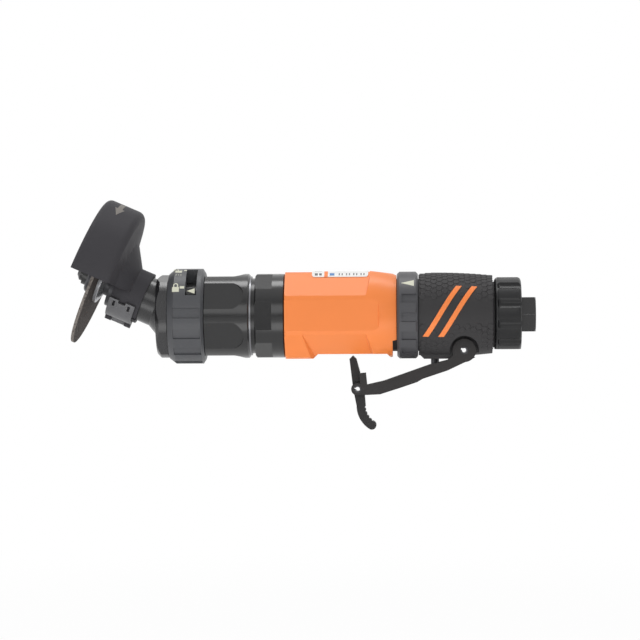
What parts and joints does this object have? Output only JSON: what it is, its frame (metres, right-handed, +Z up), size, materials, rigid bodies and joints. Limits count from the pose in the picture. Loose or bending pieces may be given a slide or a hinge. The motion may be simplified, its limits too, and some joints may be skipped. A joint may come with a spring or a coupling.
{
  "type": "pneumatic cut off tool",
  "caption": "Inline air cut off tool with a lever throttle and safety catch, a reversing ring, a vane motor and a swivelling angle head with a guarded cutting disc.",
  "frame": {"origin": "centre of the air inlet mouth, on the motor axis", "axes": "+X along the motor axis out of the air inlet, +Z up away from the throttle lever, +Y across the tool"},
  "size_m": [0.258, 0.0868, 0.1292],
  "materials": {
    "black_metal": "satin black anodised",
    "dark_metal": "satin dark grey",
    "ring_grey": "satin mid grey moulded ring",
    "orange_plastic": "glossy orange moulded cover",
    "grip_black": "matt black grip with scale relief",
    "label_white": "blank white label",
    "steel": "turned steel",
    "bright_steel": "ground steel",
    "lever_steel": "satin black stamped sheet",
    "catch_black": "satin black",
    "latch_grey": "plain grey sheet",
    "disc_brown": "resin bonded abrasive",
    "felt": "felt",
    "brass": "turned brass",
    "seal": "seal rubber",
    "aluminium": "machined",
    "vane": "phenolic vane"
  },
  "bodies": {
    "housing": {"inlet_bushing": "black_metal", "inlet_screen": "brass", "exhaust_silencer": "felt", "throttle_housing": "grip_black", "lever_pin": "steel", "valve_bush": "brass", "valve_seat": "seal", "valve_spring": "steel", "motor_housing": "aluminium", "motor_cover": "orange_plastic", "rating_label": "label_white", "rear_plate": "steel", "rear_bearing": "bright_steel", "motor_cylinder": "steel", "front_plate": "steel", "front_bearing": "bright_steel", "motor_spacer": "aluminium", "clamp_nut": "black_metal", "front_housing": "dark_metal", "spacer_ring": "bright_steel", "coupling_nut": "black_metal", "index_key": "dark_metal"},
    "exhaust": {"exhaust_cap": "ring_grey"},
    "reverse": {"reverse_ring": "ring_grey", "reverse_pin": "steel", "reverse_valve": "brass"},
    "lever": {"throttle_lever": "lever_steel", "catch_pin": "steel"},
    "catch": {"safety_catch": "catch_black"},
    "plunger": {"valve_plunger": "steel"},
    "lock": {"lock_ring": "ring_grey"},
    "head": {"head_housing": "black_metal", "head_retainer": "steel", "spigot_seal": "seal", "pinion_bearing": "bright_steel", "spindle_rear_bearing": "bright_steel", "bearing_spacer": "aluminium", "spindle_front_bearing": "bright_steel", "bearing_cap": "steel"},
    "rotor": {"rotor": "steel", "rotor_vanes": "vane", "bevel_pinion": "steel"},
    "spindle": {"spindle": "steel", "bevel_gear": "steel", "inner_flange": "bright_steel", "cutting_disc": "disc_brown", "outer_flange": "steel", "disc_screw": "black_metal"},
    "guard": {"wheel_guard": "black_metal", "latch_pin": "steel"},
    "latch": {"guard_latch": "latch_grey"}
  },
  "joints": [
    {"name": "exhaust_turn", "type": "hinge", "parent": "housing", "child": "exhaust", "pos_m": [-0.015, 0, 0], "axis": [1, 0, 0], "continuous": true},
    {"name": "reverse_turn", "type": "hinge", "parent": "housing", "child": "reverse", "pos_m": [-0.0708, 0, 0], "axis": [1, 0, 0], "range_deg": [0, 36]},
    {"name": "lever_press", "type": "hinge", "parent": "housing", "child": "lever", "pos_m": [-0.0396, 0, -0.0197], "axis": [0, 1, 0], "range_deg": [0, 6], "stiffness_Nm_per_rad": 2, "springref_deg": -8.59},
    {"name": "catch_fold", "type": "hinge", "parent": "lever", "child": "catch", "pos_m": [-0.09863, 0, -0.04084], "axis": [0, -1, 0], "range_deg": [0, 54]},
    {"name": "plunger_slide", "type": "slide", "parent": "housing", "child": "plunger", "axis": [0, 0, 1], "range_m": [0, 0.00195], "deforming": ["valve_spring"]},
    {"name": "lock_turn", "type": "hinge", "parent": "housing", "child": "lock", "pos_m": [-0.193, 0, 0], "axis": [1, 0, 0], "range_deg": [0, 33]},
    {"name": "head_swivel", "type": "hinge", "parent": "housing", "child": "head", "pos_m": [-0.19415, 0, 0], "axis": [1, 0, 0], "continuous": true},
    {"name": "motor_spin", "type": "hinge", "parent": "head", "child": "rotor", "pos_m": [-0.19415, 0, 0], "axis": [1, 0, 0], "continuous": true},
    {"name": "disc_spin", "type": "hinge", "parent": "head", "child": "spindle", "pos_m": [-0.19415, 0, 0], "axis": [0.9174, 0, -0.3979], "continuous": true},
    {"name": "guard_turn", "type": "hinge", "parent": "head", "child": "guard", "pos_m": [-0.19415, 0, 0], "axis": [0.9174, 0, -0.3979], "range_deg": [-90, 90]},
    {"name": "latch_open", "type": "hinge", "parent": "guard", "child": "latch", "pos_m": [-0.2321, 0.00415, -0.00167], "axis": [0.9174, 0, -0.3979], "range_deg": [0, 60]}
  ],
  "couplings": [
    {"joint": "disc_spin", "follows": "motor_spin", "ratio": 1},
    {"joint": "catch_fold", "follows": "lever_press", "ratio": 9},
    {"joint": "plunger_slide", "follows": "lever_press", "m_per_rad": 0.0183}
  ]
}
